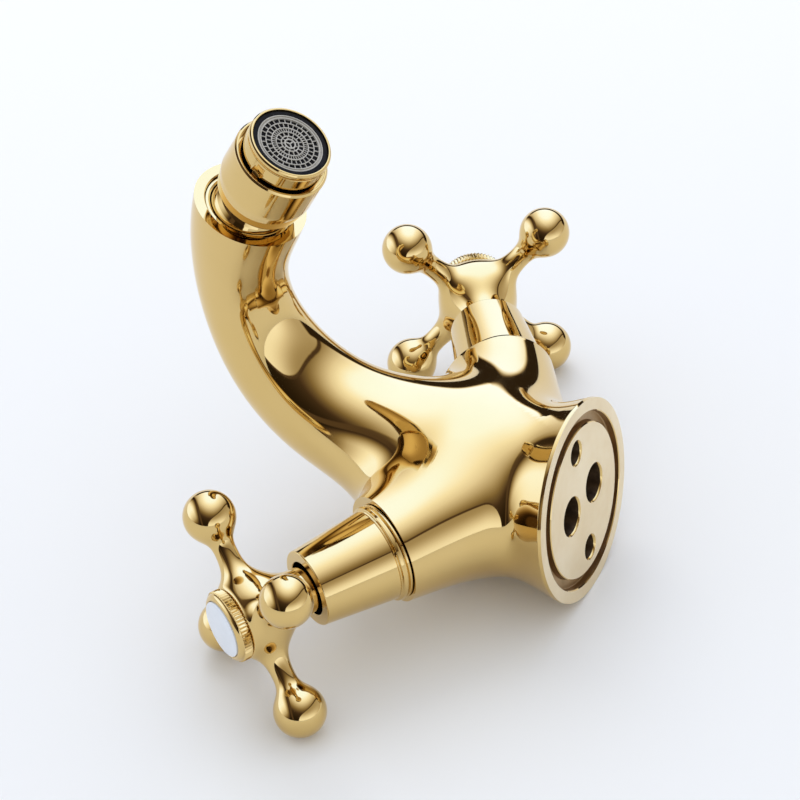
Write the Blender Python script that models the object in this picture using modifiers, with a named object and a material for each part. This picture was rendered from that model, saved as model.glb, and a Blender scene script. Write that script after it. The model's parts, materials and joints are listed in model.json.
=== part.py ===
"""Deck-mounted two-handle bidet mixer tap with cross handles and a ball-jointed aerator nozzle.

The frame: +Z up, origin at the centre of the base's underside, the spout reaches out towards -Y,
the hot valve is on the -X side and the cold valve on the +X side. Lengths are millimetres times MM.
"""

import math

import bmesh
import bpy
from mathutils import Matrix, Vector

MM = 0.001
GAP = 0.3  # clearance between pieces that touch on the real tap
SIDES = 24  # facets round a visible turned piece
INNER_SIDES = 16  # facets round the pieces hidden inside
FLANGE_SIDES = 40

# Base and body casting
BASE_RADIUS = 30.0
BASE_EDGE = 1.8
FLANGE_JOIN = 7.0  # the casting above this height is one form, and the flange is turned
NECK_RADIUS = 24.2
GROOVE_OUTER, GROOVE_INNER, GROOVE_DEPTH = 26.2, 23.1, 2.4
INLET_X, INLET_Y, INLET_RADIUS, INLET_TOP = 8.2, -0.4, 5.5, 22.0
STUD_Y, STUD_RADIUS, STUD_DEPTH = 17.0, 3.4, 14.0
BODY_VOXEL = 3.0  # cell size of the remesh that welds the spine and the arms
BODY_KEEP = 0.32  # share of the faces that the decimation keeps
BODY_SMOOTHING = 10  # rounds of smoothing, which make the fillets between spine and arms
WATERWAY_RADIUS = 7.6
MIXING_BORE_RADIUS = 3.6

# Centre line of the casting from the base to the spout's mouth: y, z, outer radius
SPINE = (
    (0.0, -7.0, 24.2),
    (0.0, 8.0, 24.4),
    (-0.5, 22.0, 24.4),
    (-2.5, 40.0, 22.6),
    (-7.6, 57.6, 20.0),
    (-19.3, 77.2, 17.2),
    (-32.4, 90.5, 15.7),
    (-50.1, 97.8, 14.1),
    (-67.4, 98.7, 14.2),
    (-78.0, 96.3, 15.3),
)
MOUTH = Vector((0.0, -89.5, 91.4))
MOUTH_DROOP = math.radians(26.4)
MOUTH_RADIUS = 16.45
MOUTH_SHRINK = 0.5  # what the smoothing takes off the tube near the mouth
MOUTH_BORE = 13.0

# Valve arms: both leave the body at one height and rise outwards
ARM_ROOT = Vector((0.0, -4.9, 14.5))
ARM_RISE = math.radians(33.9)
ARM_LEAN = math.radians(1.0)
HANDLE_PLANE = 93.7  # from the arm's root to the plane of the handle's spokes
ARM_END = -43.5  # along the arm's axis, counted from the plane of the spokes
ARM_FLARE = ((0.0, 18.6), (12.0, 18.2), (24.0, 17.2), (36.0, 15.9), (46.0, 14.8), (58.0, 14.5))
CHAMBER_RADIUS, CHAMBER_FLOOR = 9.8, -67.5
SEAT_BORE_RADIUS = 4.5

# Cross handle
SPOKE_REACH = 29.9
BALL_RADIUS = 7.6
HUB_RADIUS = 11.8
HANDLE_TURN = {"hot": 0.675, "cold": 0.8925}  # radians from the rearward direction to the first spoke

# Nozzle on its ball joint
BALL_DEPTH = 5.5  # ball centre behind the mouth's face
JOINT_BALL_RADIUS = 12.0
NOZZLE_TILT = math.radians(9.1)
NOZZLE_TURN = math.radians(-12.0)
NOZZLE_LENGTH = 35.5
BARREL_RADIUS = 14.0
AERATOR_RADIUS = 12.2


def clear_scene():
    for obj in list(bpy.data.objects):
        bpy.data.objects.remove(obj)


def new_collection(name):
    collection = bpy.data.collections.new(name)
    bpy.context.scene.collection.children.link(collection)
    return collection


def new_material(name, color, metallic, roughness):
    material = bpy.data.materials.new(name)
    material.use_nodes = True
    shader = material.node_tree.nodes["Principled BSDF"]
    shader.inputs["Base Color"].default_value = (*color, 1.0)
    shader.inputs["Metallic"].default_value = metallic
    shader.inputs["Roughness"].default_value = roughness
    return material


clear_scene()
PARTS = new_collection("bidet_mixer_tap")
CUTTERS = new_collection("cutters")

GOLD = new_material("polished_gold", (0.83, 0.62, 0.30), 1.0, 0.08)
BRASS = new_material("raw_brass", (0.72, 0.55, 0.27), 1.0, 0.30)
STEEL = new_material("stainless_steel", (0.60, 0.60, 0.62), 1.0, 0.25)
PORCELAIN = new_material("porcelain", (0.90, 0.92, 0.95), 0.0, 0.12)
CERAMIC = new_material("alumina_ceramic", (0.88, 0.87, 0.83), 0.0, 0.25)
RUBBER = new_material("black_rubber", (0.02, 0.02, 0.02), 0.0, 0.60)
FIBRE = new_material("gasket_fibre", (0.55, 0.20, 0.12), 0.0, 0.80)
GREY_PLASTIC = new_material("grey_plastic", (0.42, 0.43, 0.45), 0.0, 0.40)
WHITE_PLASTIC = new_material("white_plastic", (0.85, 0.85, 0.82), 0.0, 0.35)


def add_object(name, mesh, material, parent, is_cutter=False):
    obj = bpy.data.objects.new(name, mesh)
    obj.parent = parent
    if is_cutter:
        CUTTERS.objects.link(obj)
        obj.hide_render = True
        obj.display_type = "WIRE"
        return obj
    PARTS.objects.link(obj)
    mesh.materials.append(material)
    mesh.shade_smooth()
    mesh.set_sharp_from_angle(angle=math.radians(35))
    return obj


def add_axis(name, origin, direction, toward):
    """An empty at origin (mm) whose local Z runs along direction and whose local X leans to toward."""
    z = direction.normalized()
    x = (toward - toward.dot(z) * z).normalized()
    y = z.cross(x)
    empty = bpy.data.objects.new(name, None)
    PARTS.objects.link(empty)
    empty.matrix_world = Matrix.Translation(origin * MM) @ Matrix((x, y, z)).transposed().to_4x4()
    return empty


def turned(name, profile, material=None, parent=None, sides=SIDES):
    """A lathe-turned piece. The profile lists (radius, height) in mm, down the outer side and, on a
    ring, back up the inner side. Without a material the piece is a cutter."""
    mesh = bpy.data.meshes.new(name)
    points = [(radius * MM, 0.0, height * MM) for radius, height in profile]
    edges = [(i, i + 1) for i in range(len(points) - 1)]
    if profile[0][0] > 0:
        edges.append((len(points) - 1, 0))
    mesh.from_pydata(points, edges, [])
    obj = add_object(name, mesh, material, parent, is_cutter=material is None)
    screw = obj.modifiers.new("turn", "SCREW")
    screw.steps = screw.render_steps = sides
    screw.use_merge_vertices = True
    screw.merge_threshold = 0.00001
    screw.use_smooth_shade = True
    return obj


def ring(outer, inner, top, bottom):
    return [(outer, top), (outer, bottom), (inner, bottom), (inner, top)]


def rod(radius, top, bottom):
    return [(0, top), (radius, top), (radius, bottom), (0, bottom)]


def torus_ring(middle, thickness, height, count=10):
    """Round section of an O-ring, listed down its outer side first."""
    half = thickness / 2
    angles = [math.tau * i / count for i in range(count)]
    return [(middle + half * math.cos(a), height - half * math.sin(a)) for a in angles]


def arc(centre, radius, start, end, count):
    """Points (radius, height) on a circular arc, with angles in degrees from straight outwards."""
    points = []
    for i in range(count + 1):
        angle = math.radians(start + (end - start) * i / count)
        points.append((centre[0] + radius * math.cos(angle), centre[1] + radius * math.sin(angle)))
    return points


def plate(name, outline, top, bottom, material, parent):
    """A flat outline of (x, y) points in mm, extruded between two heights."""
    mesh = bpy.data.meshes.new(name)
    shape = bmesh.new()
    corners = [shape.verts.new((x * MM, y * MM, bottom * MM)) for x, y in outline]
    base = shape.faces.new(corners)
    raised = bmesh.ops.extrude_face_region(shape, geom=[base])["geom"]
    lifted = [item for item in raised if isinstance(item, bmesh.types.BMVert)]
    bmesh.ops.translate(shape, verts=lifted, vec=(0, 0, (top - bottom) * MM))
    bmesh.ops.recalc_face_normals(shape, faces=shape.faces)
    shape.to_mesh(mesh)
    shape.free()
    return add_object(name, mesh, material, parent, is_cutter=material is None)


def combine(obj, others, operation="DIFFERENCE"):
    """One exact Boolean with all the others at once, which keeps its result free of slivers."""
    modifier = obj.modifiers.new(operation.lower(), "BOOLEAN")
    modifier.operation = operation
    modifier.solver = "EXACT"
    if len(others) == 1:
        modifier.object = others[0]
        return
    group = bpy.data.collections.new(f"{obj.name}_{operation.lower()}")
    CUTTERS.children.link(group)
    for other in others:
        CUTTERS.objects.unlink(other)
        group.objects.link(other)
    modifier.operand_type = "COLLECTION"
    modifier.collection = group


def bore(name, radius, start, end, parent=None, sides=INNER_SIDES):
    """A cutter for a straight round hole between two points (mm, in the parent's frame)."""
    direction = end - start
    turn = direction.to_track_quat("Z", "Y").to_matrix().to_4x4()
    cutter = turned(name, rod(radius, direction.length, 0), parent=parent, sides=sides)
    cutter.matrix_local = Matrix.Translation(start * MM) @ turn
    return cutter


def smooth_stations(stations, per_span):
    """Catmull-Rom points through the stations, which are vectors with the radius as last entry."""
    count = len(stations)
    padded = [2 * stations[0] - stations[1], *stations, 2 * stations[-1] - stations[-2]]
    points = []
    for i in range(count - 1):
        a, b, c, d = padded[i : i + 4]
        for step in range(per_span):
            t = step / per_span
            bend = 2 * a - 5 * b + 4 * c - d
            twist = 3 * b - a - 3 * c + d
            points.append((2 * b + (c - a) * t + bend * t**2 + twist * t**3) / 2)
    return [*points, stations[-1]]


def tube_mesh(stations, resolution=4):
    """A closed tube mesh along points (x, y, z, radius) in mm, made from a bevelled curve."""
    curve = bpy.data.curves.new("tube", "CURVE")
    curve.dimensions = "3D"
    curve.bevel_depth = MM
    curve.bevel_resolution = resolution
    curve.use_fill_caps = True
    spline = curve.splines.new("POLY")
    spline.points.add(len(stations) - 1)
    for point, station in zip(spline.points, stations):
        point.co = (*(station.xyz * MM), 1.0)
        point.radius = station.w
    guide = bpy.data.objects.new("tube_guide", curve)
    bpy.context.scene.collection.objects.link(guide)
    bpy.context.view_layer.update()
    graph = bpy.context.evaluated_depsgraph_get()
    mesh = bpy.data.meshes.new_from_object(guide.evaluated_get(graph))
    bpy.data.objects.remove(guide)
    shape = bmesh.new()
    shape.from_mesh(mesh)
    bmesh.ops.remove_doubles(shape, verts=shape.verts, dist=0.00001)
    bmesh.ops.recalc_face_normals(shape, faces=shape.faces)
    shape.to_mesh(mesh)
    shape.free()
    return mesh


def arm_direction(side):
    flat = math.cos(ARM_LEAN)
    return Vector((side * math.cos(ARM_RISE) * flat, -math.sin(ARM_LEAN), math.sin(ARM_RISE) * flat))


def mouth_direction():
    return Vector((0.0, -math.cos(MOUTH_DROOP), -math.sin(MOUTH_DROOP)))


# --- Body casting -----------------------------------------------------------------------------


def body_blank():
    """Spine and both arms as overlapping tubes in one mesh, which the remesh then welds."""
    stations = [Vector((0.0, y, z, radius)) for y, z, radius in SPINE]
    for ahead, narrower in ((-4.0, 0.4), (0.0, 0.0), (7.0, 0.0)):
        point = MOUTH + mouth_direction() * ahead
        stations.append(Vector((*point, MOUTH_RADIUS + MOUTH_SHRINK - narrower)))
    tubes = [tube_mesh(smooth_stations(stations, 3))]
    for side in (-1, 1):
        direction = arm_direction(side)
        arm = [Vector((*(ARM_ROOT + direction * along), radius)) for along, radius in ARM_FLARE]
        tubes.append(tube_mesh(smooth_stations(arm, 2)))
    blank = bmesh.new()
    for tube in tubes:
        blank.from_mesh(tube)
        bpy.data.meshes.remove(tube)
    mesh = bpy.data.meshes.new("body_casting")
    blank.to_mesh(mesh)
    blank.free()
    return mesh


def base_flange():
    """Thin-edged round foot that sweeps up into the neck."""
    profile = [(0, 17), (NECK_RADIUS - 2, 17), (NECK_RADIUS + 0.1, 15.5)]
    sweep = [(25.6, 12.5), (27.0, 9.0), (28.6, 5.8), (BASE_RADIUS - 0.4, BASE_EDGE + 1.2)]
    profile += [*sweep, (BASE_RADIUS, BASE_EDGE), (BASE_RADIUS, 0.4), (BASE_RADIUS - 0.4, 0), (0, 0)]
    return turned("flange_blank", profile, sides=FLANGE_SIDES)


def base_cutters():
    """Ring groove in the underside, two inlets and two stud holes."""
    cutters = [turned("groove", ring(GROOVE_OUTER, GROOVE_INNER, GROOVE_DEPTH, -1), sides=FLANGE_SIDES)]
    for name, side in (("hot", -1), ("cold", 1)):
        mouth = Vector((side * INLET_X, INLET_Y, -1.0))
        top = mouth + Vector((0, 0, INLET_TOP + 1))
        cutters.append(bore(f"{name}_inlet_bore", INLET_RADIUS, mouth, top))
    for name, side in (("front", -1), ("rear", 1)):
        mouth = Vector((0.0, side * STUD_Y, -1.0))
        top = mouth + Vector((0, 0, STUD_DEPTH + 1))
        cutters.append(bore(f"{name}_stud_hole", STUD_RADIUS, mouth, top, sides=16))
    return cutters


def arm_cutters(name, side):
    """Flat arm end, valve chamber, the seat bore down to the inlet and the bore to the spout."""
    direction = arm_direction(side)

    def at(height):
        return ARM_ROOT + direction * (HANDLE_PLANE + height)

    spout_end = Vector((side * 1.5, -7.0, 51.0))
    return [
        bore(f"{name}_arm_end", 30, at(ARM_END), at(ARM_END + 20), sides=12),
        bore(f"{name}_chamber", CHAMBER_RADIUS, at(CHAMBER_FLOOR), at(ARM_END + 1), sides=SIDES),
        bore(f"{name}_seat_bore", SEAT_BORE_RADIUS, ARM_ROOT + direction * 9, at(CHAMBER_FLOOR + 1)),
        bore(f"{name}_mixing_bore", MIXING_BORE_RADIUS, at(CHAMBER_FLOOR + 8), spout_end, sides=12),
    ]


def waterway_cutter():
    """Passage inside the spout, from the mixing bores to the socket of the ball joint."""
    route = [Vector((0.0, -5.0, 47.0, WATERWAY_RADIUS))]
    route += [Vector((0.0, y, z, WATERWAY_RADIUS)) for y, z, _ in SPINE[4:9]]
    for behind in (22.0, 12.0):
        route.append(Vector((*(MOUTH - mouth_direction() * behind), WATERWAY_RADIUS)))
    return add_object("waterway", tube_mesh(smooth_stations(route, 2), 3), None, None, True)


def make_body(mouth_axis):
    body = add_object("body_casting", body_blank(), GOLD, None)
    weld = body.modifiers.new("weld", "REMESH")
    weld.mode = "VOXEL"
    weld.voxel_size = BODY_VOXEL * MM
    weld.use_smooth_shade = True
    soften = body.modifiers.new("soften", "SMOOTH")
    soften.factor = 0.5
    soften.iterations = BODY_SMOOTHING
    thin_out = body.modifiers.new("thin_out", "DECIMATE")
    thin_out.ratio = BODY_KEEP
    combine(body, [turned("below_neck", rod(60, FLANGE_JOIN, -30), sides=12)])
    combine(body, [base_flange()], "UNION")
    socket = [(0, 1), (MOUTH_BORE, 1), (MOUTH_BORE, -10.2), (11.6, -12.8), (10.4, -17.5), (0, -17.5)]
    cutters = [*base_cutters(), *arm_cutters("hot", -1), *arm_cutters("cold", 1), waterway_cutter()]
    cutters.append(turned("ball_socket", socket, parent=mouth_axis))
    cutters.append(turned("beyond_mouth", rod(40, 20, 0), parent=mouth_axis, sides=12))
    combine(body, cutters)


# --- Valve, bonnet and handle of one side -----------------------------------------------------


def make_cartridge(name, axis):
    """Brass headwork with its spindle, ceramic discs, seals and circlip, along the arm's axis."""
    body = [(7.2, -25), (7.2, -35.8), (10.2, -36), (11.3, -36.8), (11.3, -41.9), (9.4, -41.9)]
    body += [(9.4, -66.5), (7.6, -66.5), (7.6, -48), (4.4, -48), (4.4, -25)]
    shell = turned(f"{name}_cartridge_body", body, BRASS, axis, INNER_SIDES)
    window = turned(f"{name}_cartridge_window", rod(2.6, 12, -12), parent=axis, sides=12)
    window.matrix_local = Matrix.Translation((0, 0, -58.5 * MM)) @ Matrix.Rotation(math.pi / 2, 4, "Y")
    combine(shell, [window])
    gasket = ring(11.2, 9.7, ARM_END + 1.3, ARM_END + GAP)
    turned(f"{name}_body_gasket", gasket, FIBRE, axis, INNER_SIDES)
    turned(f"{name}_seat_seal", ring(7.2, 4.7, -60.9, -67.2), RUBBER, axis, INNER_SIDES)
    for label, top, bottom, turn in (("fixed", -57.4, -60.5, 0.0), ("moving", -53.9, -57.0, 90.0)):
        disc = turned(f"{name}_{label}_disc", rod(7.2, top, bottom), CERAMIC, axis, INNER_SIDES)
        ports = []
        for port, side in (("a", -1), ("b", 1)):
            across = Matrix.Rotation(math.radians(turn), 3, "Z") @ Vector((side * 3.7, 0, 0))
            ends = [across + Vector((0, 0, height)) for height in (bottom - 1, top + 1)]
            ports.append(bore(f"{name}_{label}_port_{port}", 2.3, *ends, axis, 12))
        combine(disc, ports)
    spindle = [(0, -3.5), (3.7, -3.5), (4.0, -3.8), (4.0, -23.4), (3.0, -23.4), (3.0, -24.8)]
    spindle += [(4.0, -24.8), (4.0, -43.4), (2.6, -43.4), (2.6, -45.4), (4.0, -45.4), (4.0, -48.4)]
    spindle += [(6.9, -48.6), (6.9, -53.5), (0, -53.5)]
    shaft = turned(f"{name}_spindle", spindle, BRASS, axis, INNER_SIDES)
    thread = bore(f"{name}_spindle_thread", 2.2, Vector((0, 0, -11)), Vector((0, 0, -3)), axis, 12)
    combine(shaft, [thread])
    turned(f"{name}_spindle_o_ring", torus_ring(3.5, 1.2, -44.4, 8), RUBBER, axis, INNER_SIDES)
    clip = [(5.4 * math.cos(a), 5.4 * math.sin(a)) for a in clip_angles(1)]
    clip += [(3.35 * math.cos(a), 3.35 * math.sin(a)) for a in clip_angles(-1)]
    plate(f"{name}_circlip", clip, -23.8, -24.5, STEEL, axis)


def clip_angles(direction, opening=0.5, count=14):
    """Angles round a C-shaped clip, leaving its opening free."""
    angles = [opening + (math.tau - 2 * opening) * i / count for i in range(count + 1)]
    return angles[::direction]


def make_bonnet(name, axis):
    """Tapered sleeve that hides the headwork, with a bead where it meets the arm."""
    foot = ARM_END + GAP
    profile = [(8.15, -17.1), (11.3, -17.1), (11.8, -17.7), (13.55, -40.6), (14.15, -40.8)]
    profile += [(14.4, -41.9), (14.15, foot), (12.4, foot), (12.2, -40), (10.2, -18.9), (8.15, -18.9)]
    turned(f"{name}_bonnet", profile, GOLD, axis)


def spoke_profile():
    """Two opposite spokes and their balls as one turned piece, with height along the spoke."""
    half = arc((0, SPOKE_REACH), BALL_RADIUS, 90, -60, 6)
    half += [(3.3, 20.6), (3.2, 18.2), (3.6, 15.2), (4.5, 12.5), (5.5, 10.2), (6.0, 8.0)]
    half[0] = (0, half[0][1])
    lower = [(radius, -height) for radius, height in reversed(half)]
    return half + lower


def make_handle(name, axis):
    """Hub with a stem into the bonnet, a recess for the screw and index, and four ball-ended spokes."""
    hub = [(0, 6.3), (9.9, 6.3), (10.4, 5.9), (11.4, 3.4), (HUB_RADIUS, 0), (11.3, -3.6)]
    hub += [(10.0, -6.6), (8.2, -9.6), (7.1, -12.6), (6.9, -15), (6.9, -21), (0, -21)]
    handle = turned(f"{name}_handle", hub, GOLD, axis)
    spokes = []
    for label, quarter in (("a", 0), ("b", 1)):
        spoke = turned(f"{name}_spoke_{label}", spoke_profile(), parent=axis, sides=12)
        turn = Matrix.Rotation(HANDLE_TURN[name] + quarter * math.pi / 2, 4, "Z")
        spoke.matrix_local = turn @ Matrix.Rotation(math.pi / 2, 4, "Y")
        spokes.append(spoke)
    combine(handle, spokes, "UNION")
    inside = [(0, 8), (8.3, 8), (8.3, -1), (2.3, -1), (2.3, -3.2), (4.4, -3.2), (4.4, -22), (0, -22)]
    combine(handle, [turned(f"{name}_handle_bore", inside, parent=axis)])
    screw = [(0, 1.8), (3.4, 1.8), (4.2, 1.0), (4.2, -0.7), (1.9, -0.7), (1.9, -9.5), (0, -9.5)]
    fixing = turned(f"{name}_handle_screw", screw, STEEL, axis, 16)
    slot = plate(f"{name}_screw_slot", [(-5, -0.5), (5, -0.5), (5, 0.5), (-5, 0.5)], 3, 0.9, None, axis)
    combine(fixing, [slot])


def make_index(name, axis):
    """Screw-in bezel ring and the porcelain disc in its pocket."""
    bezel = [(8.4, 10.9), (9.2, 10.9), (9.9, 10.2), (10.3, 8.9), (10.45, 8.6), (10.45, 6.6), (8.0, 6.6)]
    bezel += [(8.0, 2.6), (6.8, 2.6), (6.8, 9.0), (8.4, 9.0)]
    turned(f"{name}_index_ring", bezel, GOLD, axis)
    disc = [(0, 11.0), (4.5, 10.95), (7.4, 10.8), (8.1, 10.5), (8.1, 9.3), (0, 9.3)]
    turned(f"{name}_index_disc", disc, PORCELAIN, axis)


def make_side(name, side):
    direction = arm_direction(side)
    origin = ARM_ROOT + direction * HANDLE_PLANE
    axis = add_axis(f"{name}_axis", origin, direction, Vector((0, 1, 0)))
    make_bonnet(name, axis)
    make_cartridge(name, axis)
    make_handle(name, axis)
    make_index(name, axis)


# --- Ball joint and aerator -------------------------------------------------------------------


def make_ball_joint(mouth_axis):
    """Retaining nut in the mouth, and the seat and O-ring behind the ball."""
    nut = [(11.4, -0.7), (12.3, -0.5), (12.7, -0.9), (12.7, -3.4), (12.25, -3.4), (11.75, -2.2)]
    turned("ball_retaining_nut", nut, GOLD, mouth_axis)
    front, middle = -BALL_DEPTH - 3.6, -BALL_DEPTH - 6.2
    seat = [(12.6, front), (12.6, front - 0.3), (11.0, middle - 0.6), (9.9, -14.0), (9.9, -15.3)]
    seat += [(8.2, -15.3), (8.7, -14.2), (10.6, middle), (12.0, front)]
    turned("ball_seat_ring", seat, WHITE_PLASTIC, mouth_axis, INNER_SIDES)
    turned("ball_seal_ring", torus_ring(8.95, 1.3, -16.4, 8), RUBBER, mouth_axis, INNER_SIDES)


def make_nozzle(nozzle_axis):
    """Ball and stem, barrel, and the aerator screwed into it; heights count from the ball's centre."""
    ball = [(5.0, 17.4), (8.3, 17.4), (8.3, 9.0), *arc((0, 0), JOINT_BALL_RADIUS, 45, -55, 8)]
    ball += [(6.2, -10.3), (5.0, -9.6)]
    turned("nozzle_ball", ball, GOLD, nozzle_axis)
    barrel = [(12.9, 28.7), (13.5, 28.7), (BARREL_RADIUS, 28.1), (BARREL_RADIUS, 17.5), (13.7, 13.6)]
    barrel += [(12.9, 11.5), (11.6, 10.5), (8.6, 10.5), (8.6, 14.2), (11.6, 14.2), (11.6, 25.8)]
    barrel += [(12.9, 25.8)]
    turned("nozzle_barrel", barrel, GOLD, nozzle_axis)
    turned("aerator_washer", ring(11.2, 8.9, 16.6, 14.5), RUBBER, nozzle_axis, INNER_SIDES)
    housing = [(11.4, NOZZLE_LENGTH), (11.9, NOZZLE_LENGTH), (AERATOR_RADIUS, NOZZLE_LENGTH - 0.3)]
    housing += [(AERATOR_RADIUS, 26.6), (11.3, 26.4), (11.3, 18.0), (10.4, 18.0), (10.4, 34.0)]
    housing += [(11.4, 34.0)]
    shell = turned("aerator_housing", housing, GOLD, nozzle_axis)
    slots = []
    for label, side in (("a", -1), ("b", 1)):
        inner, outer = sorted((side * 11.3, side * 12.6))
        outline = [(inner, -2.2), (outer, -2.2), (outer, 2.2), (inner, 2.2)]
        slots.append(plate(f"wrench_slot_{label}", outline, 31.2, 29.4, None, nozzle_axis))
    combine(shell, slots)
    turned("aerator_seal", ring(11.1, 10.35, 35.1, 34.3), RUBBER, nozzle_axis, INNER_SIDES)
    make_aerator_insert(nozzle_axis)
    outline = rod(8.4, 24.6, 23.0)
    flow_disc = turned("aerator_flow_disc", outline, WHITE_PLASTIC, nozzle_axis, INNER_SIDES)
    holes = []
    for hole in range(6):
        across = Matrix.Rotation(0.1 + hole * math.tau / 6, 3, "Z") @ Vector((5.3, 0, 0))
        ends = [across + Vector((0, 0, height)) for height in (22, 26)]
        holes.append(bore(f"flow_hole_{hole}", 1.1, *ends, nozzle_axis, 9))
    combine(flow_disc, holes)
    screen = [(0, 19.4), (4.0, 19.9), (8.4, 22.4), (8.4, 21.6), (4.2, 18.8), (0, 18.2)]
    turned("aerator_filter_screen", screen, STEEL, nozzle_axis, INNER_SIDES)


def star(arms, reach, half_width):
    """Outline of straight arms that meet at the centre, in mm."""
    root = half_width / math.tan(math.pi / arms)
    outline = []
    for i in range(arms):
        turn = Matrix.Rotation(math.tau * i / arms, 2)
        corners = ((root, -half_width), (reach, -half_width), (reach, half_width))
        outline += [tuple(turn @ Vector(corner)) for corner in corners]
    return outline


def make_aerator_insert(nozzle_axis):
    """Plastic cup whose open front is a grid of rings and radial ribs."""
    cup = [(9.0, 35.0), (10.0, 35.0), (10.0, 17.6), (8.8, 17.6), (8.8, 34.0)]
    insert = turned("aerator_insert", cup, GREY_PLASTIC, nozzle_axis)
    grid = [plate("grid_ribs", star(8, 9.4, 0.22), 34.9, 34.1, None, nozzle_axis)]
    for label, radius in (("a", 2.2), ("b", 5.6)):
        hoop = ring(radius + 0.25, radius - 0.25, 34.8, 34.2)
        grid.append(turned(f"grid_hoop_{label}", hoop, parent=nozzle_axis))
    combine(insert, grid, "UNION")


def make_nozzle_end():
    mouth = mouth_direction()
    mouth_axis = add_axis("mouth_axis", MOUTH, mouth, Vector((1, 0, 0)))
    ball_centre = MOUTH - mouth * BALL_DEPTH
    swing = Matrix.Rotation(NOZZLE_TURN, 3, mouth)
    hinge = swing @ Vector((1, 0, 0))
    aim = Matrix.Rotation(NOZZLE_TILT, 3, hinge) @ mouth
    nozzle_axis = add_axis("nozzle_axis", ball_centre, aim, hinge)
    make_ball_joint(mouth_axis)
    make_nozzle(nozzle_axis)
    return mouth_axis


make_body(make_nozzle_end())
make_side("hot", -1)
make_side("cold", 1)
bpy.context.view_layer.update()
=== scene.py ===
"""Looks of the cross-handle basin mixer tap: fine meshes, materials, floor, light and camera.

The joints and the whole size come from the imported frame, and the other sizes repeat or refine part.py's.
Lengths are millimetres, turned into metres by MM when a mesh is made. A profile lists (radius, height) or
(radius, height, fillet) along the piece's own axis, down its outer side and, on a ring, back up its inner
side.
"""

import json
import math

import bmesh
import bpy
import numpy as np
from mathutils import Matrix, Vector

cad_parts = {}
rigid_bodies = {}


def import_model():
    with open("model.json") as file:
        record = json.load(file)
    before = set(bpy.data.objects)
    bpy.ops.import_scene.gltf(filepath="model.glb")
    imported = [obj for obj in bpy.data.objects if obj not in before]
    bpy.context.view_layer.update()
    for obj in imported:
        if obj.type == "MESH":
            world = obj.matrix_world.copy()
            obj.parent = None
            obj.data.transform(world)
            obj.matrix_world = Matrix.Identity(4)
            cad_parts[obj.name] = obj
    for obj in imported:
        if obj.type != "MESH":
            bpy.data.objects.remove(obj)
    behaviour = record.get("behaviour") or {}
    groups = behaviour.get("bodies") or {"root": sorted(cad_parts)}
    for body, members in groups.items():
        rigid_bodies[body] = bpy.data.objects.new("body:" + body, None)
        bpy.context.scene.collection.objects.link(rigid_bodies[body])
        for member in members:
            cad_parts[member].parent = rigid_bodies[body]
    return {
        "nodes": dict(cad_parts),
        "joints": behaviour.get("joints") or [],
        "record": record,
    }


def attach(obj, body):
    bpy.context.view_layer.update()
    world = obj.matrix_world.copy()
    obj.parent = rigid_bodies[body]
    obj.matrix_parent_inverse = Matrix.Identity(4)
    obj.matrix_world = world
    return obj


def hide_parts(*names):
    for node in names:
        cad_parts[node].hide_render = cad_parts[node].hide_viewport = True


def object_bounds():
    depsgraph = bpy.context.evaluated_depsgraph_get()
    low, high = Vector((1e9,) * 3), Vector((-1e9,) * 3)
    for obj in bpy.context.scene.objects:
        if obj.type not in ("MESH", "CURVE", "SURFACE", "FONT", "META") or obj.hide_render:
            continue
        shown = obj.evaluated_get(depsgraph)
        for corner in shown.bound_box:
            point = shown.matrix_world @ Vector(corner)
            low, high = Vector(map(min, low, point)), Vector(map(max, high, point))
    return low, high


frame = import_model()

import openvdb
from mathutils import Matrix, Vector

MM = 0.001
CAD_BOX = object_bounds()

# Foot and body, as part.py has them
BASE_RADIUS = 30.0
GROOVE_OUTER, GROOVE_INNER, GROOVE_DEPTH = 26.2, 23.1, 2.4
INLET_X, INLET_Y, INLET_RADIUS, INLET_TOP = 8.2, -0.4, 5.5, 22.0
STUD_Y, STUD_RADIUS, STUD_DEPTH = 17.0, 3.4, 14.0
FOOT_RADIUS, FOOT_SLOPE = 30.45, 0.37  # of the cone that the foot's upper side follows
FOOT_TOP = 35.0  # the cone ends here, inside the casting
FOOT_BLEND, ARM_BLEND = 6.0, 38.4  # widths over which the surfaces run into each other
BELOW_UNDERSIDE = -4.0  # the uncut casting ends here, and the underside tool takes this off

# Centre line of the casting: y, z, outer radius
SPINE = (
    (1.0, -12.0, 18.1),
    (1.0, 7.1, 18.1),
    (-0.6, 22.3, 21.1),
    (-1.0, 38.1, 26.7),
    (-9.4, 56.5, 20.8),
    (-19.5, 77.5, 16.7),
    (-32.1, 90.1, 15.2),
    (-50.0, 97.8, 13.5),
    (-67.8, 98.6, 13.6),
    (-85.6, 92.9, 16.2),
    (-96.7, 87.8, 16.9),
)
MAP_Y, MAP_Z = (-120, 50), (-20, 130)  # 1 mm raster over which the centre line's numbers are blurred
MAP_BLUR = 4.0
HANDLE_PLANE = 93.7  # from the arm's root to the plane of the spokes
ARM_END = -43.5  # along the arm's axis, counted from the plane of the spokes
ARM_SHIFT = Vector((0.0, 3.3, 0.0))  # the casting's arm starts here, seen from the axis's root
ARM_WIDER = 2.2  # how much wider than high the arm is at its start, on each side
ARM_RADII = (2.7, 11.4, 15.1)  # at the arm's start, middle and end
ARM_SPARE = 4.0  # length past the arm's end, which the arm end tool takes off
VALVE_BORE, VALVE_FLOOR = 9.8, -67.5  # radius and end of the headwork's bore, along the arm's axis

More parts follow.
